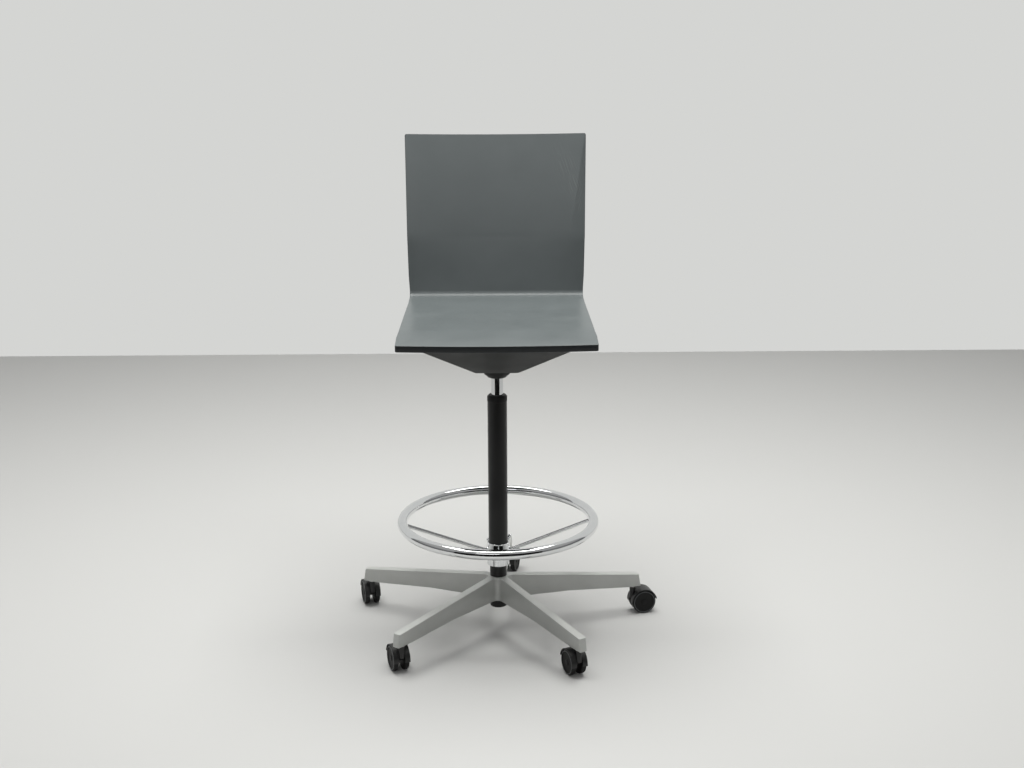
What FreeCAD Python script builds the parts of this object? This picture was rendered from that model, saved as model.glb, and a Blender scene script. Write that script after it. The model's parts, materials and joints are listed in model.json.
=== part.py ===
"""Drafting chair: moulded shell on a gas lift, with a foot ring and a five-arm castor base.

Millimetres, +Z up.  The origin is on the floor, on the axis of the column.  A sitter faces -Y.
"""
import FreeCAD, Part
import math
import os

from FreeCAD import Vector

# ---- clearances -------------------------------------------------------------------------
RUNNING = 0.05            # radial, between a shaft and the bore that it turns or slides in
SEAT_GAP = 0.3            # between pieces that rest on each other or pass close by

# ---- base star --------------------------------------------------------------------------
ARM_COUNT = 5
ARM_ANGLE = 13.7          # degrees from +X of the first arm
ARM_WIDTH = 18.0
ARM_REACH = 329.0         # radius of an arm's end at its top face
ARM_END_LEAN = 4.6        # how much further out the end is at its bottom
ARM_TIP_TOP = 93.5
ARM_TIP_BOTTOM = 64.5
ARM_BELLY = 71.5          # underside half way along
ARM_WALL = 3.2
HUB_RADIUS = 24.0
HUB_TOP = 124.5
HUB_BOTTOM = 70.0
TIP_CORNER = 3.0
TIP_FLAT = 34.0           # level length of the underside at the tip, over the castor
SOCKET_RADIUS_AT = 316.0  # where the castor stems stand
SOCKET_DEPTH = 23.0

# ---- castors ----------------------------------------------------------------------------
WHEEL_RADIUS = 27.5
WHEEL_INNER = 6.8         # distance of a wheel's inner face from the castor's mid-plane
WHEEL_OUTER = 17.5
WHEEL_SHOULDER = 2.2
RIM_OUTER = 25.0
RIM_INNER = 23.0
RIM_HEIGHT = 0.8
DISC_RECESS = 1.5
TRAIL = 24.0              # from the stem to the axle
STEM_RADIUS = 5.0
STEM_FLANGE_RADIUS = 7.5
STEM_FLANGE = 1.5
BOSS_RADIUS = 6.5
WEB_HALF = 5.0
AXLE_RADIUS = 3.0
HOOD_GAP = 0.9            # between a wheel's tread and the hood
HOOD_WALL = 1.8
HOOD_HALF = 18.0
HOOD_FRONT = -4.0         # degrees above the axle's level where the hood starts, stem side
HOOD_JOIN = 62.0          # from here on the hood is one piece across both wheels
HOOD_BACK = 168.0
CASTOR_TURN = (14.0, 74.0, 106.0, 110.5, 113.0)  # degrees from +X in which each castor trails

# ---- column -----------------------------------------------------------------------------
TUBE_RADIUS = 21.2
TUBE_WALL = 2.0
FOOT_RADIUS = 18.5
FOOT_WALL = 2.0
FOOT_BOTTOM = 52.0
FOOT_PLATE = 4.0
STEP_BOTTOM = 152.0       # the foot widens into the tube from here
STEP_RISE = 4.0
TUBE_TOP = 527.0
CAP_HEIGHT = 14.0
CAP_OVERHANG = 0.6        # how far the cap stands out past the tube
CAP_BEVEL = 4.0
CAP_SPIGOT = 6.0
BUSH_LENGTH = 80.0

# ---- gas lift ---------------------------------------------------------------------------
CYLINDER_RADIUS = 13.0
CYLINDER_WALL = 2.0
CYLINDER_BOTTOM = 180.0
CYLINDER_SHOWN = 39.0     # bright length between the cap and the seat at rest
CYLINDER_END = 12.0
TAPER_LENGTH = 48.0
TAPER_DROP = 0.8          # how much the radius shrinks over the taper
ROD_RADIUS = 5.0
ROD_TOP_BELOW = 87.0      # from the tube's top down to the rod's shoulder in the piston
ROD_NECK_RADIUS = 4.0
BEARING_HEIGHT = 5.4
BEARING_WIDTH = 5.4
PISTON_HEIGHT = 18.0
ROD_GUIDE_HEIGHT = 18.0
CLIP_HEIGHT = 1.7
CLIP_WIDTH = 5.0
BUTTON_RADIUS = 3.0
BUTTON_HEAD_RADIUS = 5.0
BUTTON_HEAD = 5.0
BUTTON_TRAVEL = 3.2
BUTTON_STANDOFF = 5.0     # from the cylinder's end to the underside of the button's head

# ---- foot ring --------------------------------------------------------------------------
RING_RADIUS = 211.0
RING_TUBE = 11.0
RING_TUBE_WALL = 2.0
RING_HEIGHT = 252.0
SPOKE_COUNT = 4
SPOKE_ANGLE = 3.6
SPOKE_RADIUS = 4.0
SPOKE_HUB_HEIGHT = 182.0  # height of a spoke's axis where it leaves the column's surface
SPOKE_UNDER = 4.0         # how far below and inside the ring's centreline a spoke meets it
RING_NUT_BOTTOM = 151.0
RING_NUT_HEIGHT = 16.7
RING_NUT_WALL = 2.3
RING_NUT_FLUTES = 24
RING_HUB_HEIGHT = 35.0
RING_HUB_RIM_WALL = 1.8   # hub walls outside the sleeve: at the rim, at the flare, at the foot
RING_HUB_WALL = 4.8
RING_HUB_LOW_WALL = 3.1
SLEEVE_WALL = 1.2
CLAMP_BEHIND = 3.5        # clear of the hub's bore to the near side of the clamp bolt
CLAMP_BELOW_TOP = 7.0
LUG_RADIUS = 6.5
LUG_HALF = 16.0
SLIT = 3.0
BAND_HEIGHT = 15.0        # the split clamping band above the spokes
BAND_CUT = 1.4
CLAMP_BOLT_RADIUS = 3.0
CLAMP_NUT_RADIUS = 5.0
CLAMP_NUT_LENGTH = 5.5
CLAMP_CAM_RADIUS = 6.0
CLAMP_CAM_LENGTH = 8.0
CLAMP_LEVER_RISE = 9.5
CLAMP_LEVER_LEAN = 5.6
CLAMP_LEVER_RADIUS = 4.2

# ---- heights under the seat, each from the one below it ------------------------------------
CAP_TOP = TUBE_TOP + CAP_HEIGHT
CUP_BOTTOM = CAP_TOP + CYLINDER_SHOWN
CUP_HEIGHT = 20.0
PAN_BOTTOM = CUP_BOTTOM + CUP_HEIGHT
PAN_HEIGHT = 86.0         # up to where the slanting walls turn upright
PAN_RIM = PAN_BOTTOM + PAN_HEIGHT
SEAT_RISE = 27.0          # from the pan's rim up to the level of the seat's rear
SEAT_LEVEL = PAN_RIM + SEAT_RISE

# ---- seat shell -------------------------------------------------------------------------
SHELL_WALL = 14.0
SEAT_FRONT = 213.0        # in front of the column
SEAT_FRONT_DROP = 12.5    # how far the front edge lies below the seat's rear
SEAT_BEND = 120.0         # the seat falls away in front of this
SEAT_BEND_DROP = 2.5
SEAT_BEND_RADIUS = 320.0
FOLD = 224.0              # behind the column, where seat and back would meet without a bend
FOLD_RADIUS = 14.0
LUMBAR_RISE = 132.0       # above the seat, where the back starts to lean further
LUMBAR_LEAN = 14.0        # how far that point is behind the fold
LUMBAR_RADIUS = 260.0
BACK_RISE = 360.5
BACK_LEAN = 60.0          # how far the top is behind the fold
SHELL_HALF_FRONT = 204.8  # half widths, from the front edge to the top of the back
SHELL_HALF_THIGH = 202.3
SHELL_HALF_FOLD = 196.9
SHELL_HALF_WAIST = 199.0
SHELL_HALF_LUMBAR = 201.0
SHELL_HALF_TOP = 204.5
FULL_WIDTH_TO = 160.0     # in front of the column: full width as far back as this
THIGH = 125.0
NARROW_AHEAD = 74.0       # the narrowest part starts this far in front of the fold
FRONT_BOW = 6.0           # how far the front edge bulges forwards in its middle
FRONT_SAG = 1.0           # how far the front edge sags in its middle
BACK_HOLLOW = 7.0         # how far the back is hollowed in its middle
TOP_DIP = 2.5             # how far the top edge dips in its middle
NARROW_RISE = 22.0        # above the seat, where the back starts to widen
WAIST_RISE = 47.0

# ---- pan and mechanism under the seat ----------------------------------------------------
PAN_BOTTOM_HALF = 48.0
PAN_RIM_HALF = 176.0
PAN_WALL = 3.0
PAN_CORNER = 7.0
CUP_RADIUS = 32.0
CUP_FOOT_RADIUS = 22.0
SOCKET_WALL = 7.0
PLATE_HALF = 90.0
PLATE_THICKNESS = 4.0
PLATE_BELOW = 29.0        # from the seat's level down to the underside of the steel plate
STRUT_HALF = 11.0
STRUT_WIDTH = 9.0
SCREW_AT = 70.0
SCREW_RADIUS = 3.0
SCREW_HEAD_RADIUS = 6.0
SCREW_HEAD = 3.5
SCREW_CLEARANCE = 0.2
LEVER_ARM = 32.0          # from the button to the release lever's pin
LEVER_ABOVE_BUTTON = 9.0  # height of the pin above the button's top
LEVER_PIN_RADIUS = 2.5
LEVER_WIDTH = 12.0
LEVER_THICKNESS = 5.0
LEVER_SIDE_GAP = 1.0
LEVER_STROKE = 17.0       # room for the bar to rise in the pan's slot
EAR_WALL = 3.0
EAR_RADIUS = 7.0
PADDLE_OUT = 42.0         # how far the paddle reaches out behind the pan
PADDLE_WIDTH = 44.0
PADDLE_LENGTH = 40.0
PADDLE_CORNER = 8.0

UP = Vector(0, 0, 1)


# ---- helpers ----------------------------------------------------------------------------
def save(name, shape):
    """Write one node's solids as a STEP file."""
    os.makedirs("parts", exist_ok=True)
    shape = shape.removeSplitter()
    solids = shape.Solids
    shape = solids[0] if len(solids) == 1 else Part.makeCompound(solids)
    shape.exportStep("parts/%s.step" % name)


def cylinder(radius, low, high, x=0.0, y=0.0):
    return Part.makeCylinder(radius, high - low, Vector(x, y, low), UP)


def tube(outer, inner, low, high):
    return cylinder(outer, low, high).cut(cylinder(inner, low - 1, high + 1))


def along(axis, radius, start, end, across):
    """A round bar along X or Y from start to end, through the point that across gives."""
    if axis == "X":
        return Part.makeCylinder(radius, end - start, Vector(start, *across), Vector(1, 0, 0))
    return Part.makeCylinder(radius, end - start, Vector(across[0], start, across[1]), Vector(0, 1, 0))


def box(low, high):
    return Part.makeBox(high[0] - low[0], high[1] - low[1], high[2] - low[2], Vector(*low))


def revolve(outline):
    """Turn an outline of (radius, height) points about the column's axis."""
    points = [Vector(r, 0, z) for r, z in outline]
    face = Part.Face(Part.makePolygon(points + points[:1]))
    return face.revolve(Vector(0, 0, 0), UP, 360)


def turned(shape, degrees):
    return shape.rotated(Vector(0, 0, 0), UP, degrees)


def fuse(shapes):
    return shapes[0].fuse(shapes[1:]).removeSplitter()


def rounded_path(points, radii):
    """Straight runs through (y, z) points, joined by tangent arcs, as a list of pieces.

    A piece is ("line", start, end) or ("arc", centre, radius, start angle, end angle, side).
    """
    pieces = []
    here = points[0]
    for before, corner, after, radius in zip(points, points[1:], points[2:], radii):
        a = math.atan2(corner[1] - before[1], corner[0] - before[0])
        b = math.atan2(after[1] - corner[1], after[0] - corner[0])
        turn = (b - a + math.pi) % (2 * math.pi) - math.pi
        side = 1 if turn > 0 else -1
        back = radius * math.tan(abs(turn) / 2)
        start = (corner[0] - back * math.cos(a), corner[1] - back * math.sin(a))
        centre = (start[0] - side * radius * math.sin(a), start[1] + side * radius * math.cos(a))
        pieces.append(("line", here, start))
        first = a - side * math.pi / 2
        pieces.append(("arc", centre, radius, first, first + turn, side))
        here = (centre[0] + radius * math.cos(first + turn), centre[1] + radius * math.sin(first + turn))
    pieces.append(("line", here, points[-1]))
    return pieces


def offset_edges(pieces, x, distance):
    """The path's edges at this X, moved to its right-hand side by distance."""
    edges = []
    for piece in pieces:
        if piece[0] == "line":
            (y0, z0), (y1, z1) = piece[1:]
            run = math.hypot(y1 - y0, z1 - z0)
            ny, nz = (z1 - z0) / run * distance, -(y1 - y0) / run * distance
            edges.append(Part.LineSegment(Vector(x, y0 + ny, z0 + nz), Vector(x, y1 + ny, z1 + nz)).toShape())
            continue
        (cy, cz), radius, first, last, side = piece[1:]
        radius += side * distance
        ends = [Vector(x, cy + radius * math.cos(t), cz + radius * math.sin(t))
                for t in (first, (first + last) / 2, last)]
        edges.append(Part.Arc(*ends).toShape())
    return edges


# ---- places worked out from the sizes ------------------------------------------------------
def sleeve_radius():
    return TUBE_RADIUS + RUNNING + SLEEVE_WALL


def hub_bottom():
    return RING_NUT_BOTTOM + RING_NUT_HEIGHT + SEAT_GAP


def hub_top():
    return hub_bottom() + RING_HUB_HEIGHT


def clamp_place():
    """Y and Z of the clamp bolt, which lies along X behind the column."""
    return (sleeve_radius() + CLAMP_BEHIND + CLAMP_BOLT_RADIUS, hub_top() - CLAMP_BELOW_TOP)


def bearing_bottom():
    return FOOT_BOTTOM + FOOT_PLATE


def cylinder_top():
    return PAN_BOTTOM + TAPER_LENGTH + PAN_WALL


def taper_bottom():
    return cylinder_top() - TAPER_LENGTH


def rod_top():
    return TUBE_TOP - ROD_TOP_BELOW


def button_top():
    return cylinder_top() + BUTTON_STANDOFF + BUTTON_HEAD


def lever_place():
    """Y and Z of the release lever's pin, which lies along X."""
    return (LEVER_ARM, button_top() + LEVER_ABOVE_BUTTON)


def plate_level():
    return SEAT_LEVEL - PLATE_BELOW


def socket_radius():
    return CYLINDER_RADIUS + SOCKET_WALL


def socket_bottom():
    return CUP_BOTTOM + PAN_WALL + SEAT_GAP


def screw_places():
    return [(sx * SCREW_AT, sy * SCREW_AT) for sx in (-1, 1) for sy in (-1, 1)]


# ---- seat shell -------------------------------------------------------------------------
def shell_path(x):
    """The top face's side view at this X, from the front edge to the top of the back."""
    middle = 1 - (x / SHELL_HALF_TOP) ** 2
    points = [
        (-SEAT_FRONT - FRONT_BOW * middle, SEAT_LEVEL - SEAT_FRONT_DROP - FRONT_SAG * middle),
        (-SEAT_BEND, SEAT_LEVEL - SEAT_BEND_DROP),
        (FOLD, SEAT_LEVEL),
        (FOLD + LUMBAR_LEAN + BACK_HOLLOW * middle, SEAT_LEVEL + LUMBAR_RISE),
        (FOLD + BACK_LEAN + BACK_HOLLOW * middle, SEAT_LEVEL + BACK_RISE - TOP_DIP * middle),
    ]
    return rounded_path(points, (SEAT_BEND_RADIUS, FOLD_RADIUS, LUMBAR_RADIUS))


def shell_section(x):
    """Closed side view of the shell at this X."""
    top = offset_edges(shell_path(x), x, 0.0)
    under = offset_edges(shell_path(x), x, SHELL_WALL)
    front = Part.makeLine(under[0].Vertexes[0].Point, top[0].Vertexes[0].Point)
    back = Part.makeLine(top[-1].Vertexes[-1].Point, under[-1].Vertexes[-1].Point)
    return Part.Wire(Part.__sortEdges__([front] + top + [back] + under))


def section_above(x, gap):
    """Closed side view of all that lies above a gap under the shell's underside, at this X."""
    under = offset_edges(shell_path(x), x, SHELL_WALL + gap)
    first, last = under[0].Vertexes[0].Point, under[-1].Vertexes[-1].Point
    corners = [last, Vector(x, last.y, last.z + 50), Vector(x, first.y, last.z + 50), first]
    lid = [Part.makeLine(a, b) for a, b in zip(corners, corners[1:])]
    return Part.Wire(Part.__sortEdges__(under + lid))


def across(section):
    """Loft a side view that depends on X from one side of the chair to the other."""
    reach = max(SHELL_HALF_FRONT, SHELL_HALF_TOP, SHELL_HALF_FOLD) + 6
    return Part.makeLoft([section(reach * k / 3) for k in range(-3, 4)], True, False)


def mirrored_face(points, place):
    """A face from half an outline of (half width, other axis), mirrored in X."""
    loop = [place(x, v) for x, v in points] + [place(-x, v) for x, v in reversed(points)]
    return Part.Face(Part.makePolygon(loop + loop[:1]))


def seat_shell():
    narrow = SEAT_LEVEL + NARROW_RISE
    front = -SEAT_FRONT - FRONT_BOW - 10
    rear = FOLD + BACK_LEAN + BACK_HOLLOW + 2 * SHELL_WALL
    plan = mirrored_face([(SHELL_HALF_FRONT, front), (SHELL_HALF_FRONT, -FULL_WIDTH_TO),
                          (SHELL_HALF_THIGH, -THIGH), (SHELL_HALF_FOLD, FOLD - NARROW_AHEAD),
                          (SHELL_HALF_FOLD, rear)], lambda x, y: Vector(x, y, 0))
    elevation = mirrored_face([(SHELL_HALF_FOLD, narrow), (SHELL_HALF_WAIST, SEAT_LEVEL + WAIST_RISE),
                               (SHELL_HALF_LUMBAR, SEAT_LEVEL + LUMBAR_RISE),
                               (SHELL_HALF_TOP, SEAT_LEVEL + BACK_RISE + 20)], lambda x, z: Vector(x, front, z))
    sides = plan.extrude(Vector(0, 0, narrow)).fuse(elevation.extrude(Vector(0, rear - front, 0)))
    return across(shell_section).common(sides)


# ---- pan and mechanism ------------------------------------------------------------------
def square(half, z, corner):
    """A level square wire with rounded corners."""
    k = half - corner
    s = corner * (1 - math.sqrt(0.5))
    edges = []
    for turn in range(4):
        edge = Part.LineSegment(Vector(half, -k, z), Vector(half, k, z)).toShape()
        arc = Part.Arc(Vector(half, k, z), Vector(half - s, half - s, z), Vector(k, half, z)).toShape()
        edges += [turned(edge, 90 * turn), turned(arc, 90 * turn)]
    return Part.Wire(edges)


def pan_body(inset):
    """The pan's outside, or its hollow when inset by the wall."""
    slope = (PAN_RIM_HALF - PAN_BOTTOM_HALF) / PAN_HEIGHT
    grow = inset * (math.hypot(slope, 1) - slope)
    bottom = square(PAN_BOTTOM_HALF - grow, PAN_BOTTOM + inset, PAN_CORNER)
    rim = square(PAN_RIM_HALF - inset, PAN_RIM + grow / slope, PAN_CORNER + 5)
    over = square(PAN_RIM_HALF - inset, SEAT_LEVEL + 40, PAN_CORNER + 5)
    return Part.makeLoft([bottom, rim], True, True).fuse(Part.makeLoft([rim, over], True, True))


def above_underside(gap):
    """Everything from a gap below the shell's underside upwards, to trim what meets it."""
    return across(lambda x: section_above(x, gap))


def seat_pan():
    cup = revolve([(0, CUP_BOTTOM), (CUP_FOOT_RADIUS - 5, CUP_BOTTOM), (CUP_FOOT_RADIUS, CUP_BOTTOM + 2.5),
                   (CUP_FOOT_RADIUS + 5, CUP_BOTTOM + 7), (CUP_RADIUS - 1, PAN_BOTTOM - 5),
                   (CUP_RADIUS, PAN_BOTTOM + 1), (0, PAN_BOTTOM + 1)])
    pan = pan_body(0.0).fuse(cup).cut(pan_body(PAN_WALL)).cut(above_underside(SEAT_GAP))
    pan = pan.cut(cylinder(socket_radius() + SEAT_GAP, CUP_BOTTOM + PAN_WALL, PAN_BOTTOM + PAN_WALL + 1))
    pan = pan.cut(cylinder(CYLINDER_RADIUS + 1.0, CUP_BOTTOM - 1, PAN_BOTTOM))
    # Slot in the rear wall for the release lever, tall enough for its stroke.
    half = LEVER_WIDTH / 2 + 2
    level = lever_place()[1]
    low, high = level - LEVER_THICKNESS / 2 - 2, level + LEVER_THICKNESS / 2 + LEVER_STROKE
    return pan.cut(box((-half, PAN_BOTTOM_HALF + 40, low), (half, PAN_RIM_HALF + 5, high)))


def seat_bracket():
    """Steel plate under the shell, with the taper socket, the struts and the lever's ears."""
    low, high = plate_level(), plate_level() + PLATE_THICKNESS
    y, z = lever_place()
    plate = box((-PLATE_HALF, -PLATE_HALF, low), (PLATE_HALF, PLATE_HALF, high))
    pieces = [plate, cylinder(socket_radius(), socket_bottom(), cylinder_top() - 1)]
    for side in (-1, 1):
        x0, x1 = sorted((side * (socket_radius() + 3), side * (socket_radius() + 3 - STRUT_WIDTH)))
        pieces.append(box((x0, -STRUT_HALF, cylinder_top() - 30), (x1, STRUT_HALF, low)))
        inner = LEVER_WIDTH / 2 + LEVER_SIDE_GAP
        x0, x1 = sorted((side * inner, side * (inner + EAR_WALL)))
        pieces.append(box((x0, y - EAR_RADIUS, z - EAR_RADIUS), (x1, y + EAR_RADIUS, low)))
    bracket = fuse(pieces)
    bore = revolve([(0, CUP_BOTTOM), (CYLINDER_RADIUS + RUNNING, CUP_BOTTOM),
                    (CYLINDER_RADIUS + RUNNING, taper_bottom()),
                    (CYLINDER_RADIUS - TAPER_DROP + RUNNING, cylinder_top()), (0, cylinder_top())])
    bracket = bracket.cut(bore)
    bracket = bracket.cut(along("X", LEVER_PIN_RADIUS + RUNNING, -30, 30, lever_place()))
    # A window in the plate over the button and the lever, and the screw holes.
    half = LEVER_WIDTH / 2 + LEVER_SIDE_GAP - 0.1
    bracket = bracket.cut(box((-half, -14, low - 1), (half, y + 26, high + 1)))
    for sx, sy in screw_places():
        bracket = bracket.cut(cylinder(SCREW_RADIUS + SCREW_CLEARANCE, low - 1, high + 1, sx, sy))
    return bracket


def shell_bottom_at(y):
    """Height of the shell's underside at this Y, over its level part."""
    share = (y + SEAT_BEND) / (FOLD + SEAT_BEND)
    return SEAT_LEVEL - SEAT_BEND_DROP * (1 - share) - SHELL_WALL


def seat_spacers():
    """Four bosses between the plate and the shell, each trimmed to the underside."""
    above = above_underside(SEAT_GAP)
    bosses = []
    for x, y in screw_places():
        boss = cylinder(SCREW_HEAD_RADIUS + 3, plate_level() + PLATE_THICKNESS, SEAT_LEVEL, x, y)
        boss = boss.cut(cylinder(SCREW_RADIUS + SCREW_CLEARANCE, plate_level(), SEAT_LEVEL + 1, x, y))
        bosses += boss.cut(above).Solids
    return Part.makeCompound(bosses)


def plate_screws():
    """Screws up through the plate; their tips stop just under the shell."""
    screws = []
    for x, y in screw_places():
        head = cylinder(SCREW_HEAD_RADIUS, plate_level() - SCREW_HEAD, plate_level(), x, y)
        shank = cylinder(SCREW_RADIUS, plate_level(), shell_bottom_at(y) - 1.2, x, y)
        recess = cylinder(SCREW_RADIUS * 0.8, plate_level() - SCREW_HEAD - 1, plate_level() - 1.2, x, y)
        screws += head.fuse(shank).cut(recess).removeSplitter().Solids
    return Part.makeCompound(screws)


def release_lever():
    """Lever from over the button, past its pin and out through the pan's rear slot."""
    y, z = lever_place()
    low, high = z - LEVER_THICKNESS / 2, z + LEVER_THICKNESS / 2
    half = LEVER_WIDTH / 2
    end = PAN_RIM_HALF + PADDLE_OUT
    bar = box((-half, -5, low), (half, end - PADDLE_LENGTH + 5, high))
    nose_radius = LEVER_ABOVE_BUTTON - 4.5
    nose = along("X", nose_radius, -half, half, (0.0, button_top() + 0.5 + nose_radius))
    hub = along("X", LEVER_PIN_RADIUS + 3, -half, half, (y, z))
    paddle = box((-PADDLE_WIDTH / 2, end - PADDLE_LENGTH, low - 1.0), (PADDLE_WIDTH / 2, end, high))
    upright = [e for e in paddle.Edges if abs(e.tangentAt(e.FirstParameter).z) > 0.99]
    paddle = paddle.makeFillet(PADDLE_CORNER, upright)
    lever = fuse([bar, nose, hub, paddle])
    return lever.cut(along("X", LEVER_PIN_RADIUS + RUNNING, -30, 30, (y, z)))


def lever_pin():
    reach = LEVER_WIDTH / 2 + LEVER_SIDE_GAP + EAR_WALL + 1
    shank = along("X", LEVER_PIN_RADIUS, -reach, reach, lever_place())
    head = along("X", LEVER_PIN_RADIUS + 1.5, -reach - 1.5, -reach + 0.7, lever_place())
    return shank.fuse(head).removeSplitter()


# ---- gas lift ---------------------------------------------------------------------------
def gas_cylinder():
    outer = revolve([(0, CYLINDER_BOTTOM), (CYLINDER_RADIUS, CYLINDER_BOTTOM),
                     (CYLINDER_RADIUS, taper_bottom()),
                     (CYLINDER_RADIUS - TAPER_DROP, cylinder_top()), (0, cylinder_top())])
    bore = cylinder(CYLINDER_RADIUS - CYLINDER_WALL, CYLINDER_BOTTOM - 1, cylinder_top() - CYLINDER_END)
    pin_hole = cylinder(BUTTON_RADIUS + RUNNING, cylinder_top() - CYLINDER_END - 1, cylinder_top() + 1)
    return outer.cut(bore).cut(pin_hole)


def rod_guide():
    return tube(CYLINDER_RADIUS - CYLINDER_WALL, ROD_RADIUS + RUNNING,
                CYLINDER_BOTTOM + 1, CYLINDER_BOTTOM + 1 + ROD_GUIDE_HEIGHT)


def release_button():
    foot = cylinder_top() - CYLINDER_END + 1 + BUTTON_TRAVEL
    head_low = cylinder_top() + BUTTON_STANDOFF
    pin = cylinder(BUTTON_RADIUS, foot, head_low)
    head = revolve([(0, head_low), (BUTTON_HEAD_RADIUS, head_low), (BUTTON_HEAD_RADIUS, button_top() - 2),
                    (BUTTON_HEAD_RADIUS - 2, button_top()), (0, button_top())])
    return pin.fuse(head).removeSplitter()


def piston_rod():
    shoulder = bearing_bottom() + BEARING_HEIGHT + SEAT_GAP
    groove_top = FOOT_BOTTOM - SEAT_GAP
    neck = cylinder(ROD_NECK_RADIUS, groove_top - CLIP_HEIGHT - 1.5, shoulder)
    groove = tube(ROD_NECK_RADIUS + 1, ROD_NECK_RADIUS - 1, groove_top - CLIP_HEIGHT, groove_top)
    rod = cylinder(ROD_RADIUS, shoulder, rod_top())
    tip = cylinder(ROD_RADIUS - 1.5, rod_top(), rod_top() + PISTON_HEIGHT)
    return neck.cut(groove).fuse([rod, tip]).removeSplitter()


def piston():
    outer = CYLINDER_RADIUS - CYLINDER_WALL - SEAT_GAP
    return tube(outer, ROD_RADIUS - 1.5, rod_top(), rod_top() + PISTON_HEIGHT)


def thrust_bearing():
    bore = ROD_NECK_RADIUS + 0.6
    return tube(bore + BEARING_WIDTH, bore, bearing_bottom(), bearing_bottom() + BEARING_HEIGHT)


def retaining_clip():
    high = FOOT_BOTTOM - SEAT_GAP
    inner = ROD_NECK_RADIUS - 1
    ring = tube(inner + CLIP_WIDTH, inner, high - CLIP_HEIGHT, high)
    mouth = 0.63 * inner
    return ring.cut(box((-mouth, 0, high - CLIP_HEIGHT - 1), (mouth, inner + CLIP_WIDTH + 1, high + 1)))


# ---- column -----------------------------------------------------------------------------
def column_tube():
    step_top = STEP_BOTTOM + STEP_RISE
    outer = revolve([(0, FOOT_BOTTOM), (FOOT_RADIUS - 1, FOOT_BOTTOM), (FOOT_RADIUS, FOOT_BOTTOM + 1),
                     (FOOT_RADIUS, STEP_BOTTOM), (TUBE_RADIUS, step_top),
                     (TUBE_RADIUS, TUBE_TOP), (0, TUBE_TOP)])
    bore = revolve([(0, bearing_bottom()), (FOOT_RADIUS - FOOT_WALL, bearing_bottom()),
                    (FOOT_RADIUS - FOOT_WALL, STEP_BOTTOM), (TUBE_RADIUS - TUBE_WALL, step_top),
                    (TUBE_RADIUS - TUBE_WALL, TUBE_TOP), (0, TUBE_TOP)])
    return outer.cut(bore).cut(cylinder(ROD_NECK_RADIUS + RUNNING, FOOT_BOTTOM - 1, bearing_bottom() + 1))


def column_cap():
    """Bevelled collar that closes the tube's top, with a spigot down its bore."""
    inside = CYLINDER_RADIUS + SEAT_GAP
    spigot = TUBE_RADIUS - TUBE_WALL - RUNNING
    outside = TUBE_RADIUS + CAP_OVERHANG
    return revolve([(inside, TUBE_TOP - CAP_SPIGOT), (spigot, TUBE_TOP - CAP_SPIGOT), (spigot, TUBE_TOP),
                    (outside, TUBE_TOP), (outside, CAP_TOP - CAP_BEVEL),
                    (outside - 0.8 * CAP_BEVEL, CAP_TOP), (inside, CAP_TOP)])


def guide_bush():
    high = TUBE_TOP - CAP_SPIGOT - SEAT_GAP
    return tube(TUBE_RADIUS - TUBE_WALL - RUNNING, CYLINDER_RADIUS + RUNNING, high - BUSH_LENGTH, high)


# ---- base star --------------------------------------------------------------------------
def star_outline():
    """Plan view of the five arms, with one concave arc between neighbours."""
    half_step = math.pi / ARM_COUNT
    half = ARM_WIDTH / 2
    pocket = (HUB_RADIUS * math.sin(half_step) - half) / (1 - math.sin(half_step))
    reach = (HUB_RADIUS + pocket) * math.cos(half_step)
    end = ARM_REACH + ARM_END_LEAN + 1
    c = TIP_CORNER
    s = c * (1 - math.sqrt(0.5))
    edges = []
    for k in range(ARM_COUNT):
        run = [
            Part.LineSegment(Vector(reach, -half, 0), Vector(end - c, -half, 0)),
            Part.Arc(Vector(end - c, -half, 0), Vector(end - s, s - half, 0), Vector(end, c - half, 0)),
            Part.LineSegment(Vector(end, c - half, 0), Vector(end, half - c, 0)),
            Part.Arc(Vector(end, half - c, 0), Vector(end - s, half - s, 0), Vector(end - c, half, 0)),
            Part.LineSegment(Vector(end - c, half, 0), Vector(reach, half, 0)),
            Part.Arc(Vector(reach, half, 0),
                     Vector(HUB_RADIUS * math.cos(half_step), HUB_RADIUS * math.sin(half_step), 0),
                     Vector(reach * math.cos(2 * half_step) + half * math.sin(2 * half_step),
                            reach * math.sin(2 * half_step) - half * math.cos(2 * half_step), 0)),
        ]
        edges += [turned(e.toShape(), arm_angle(k)) for e in run]
    return Part.Face(Part.Wire(edges))


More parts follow.
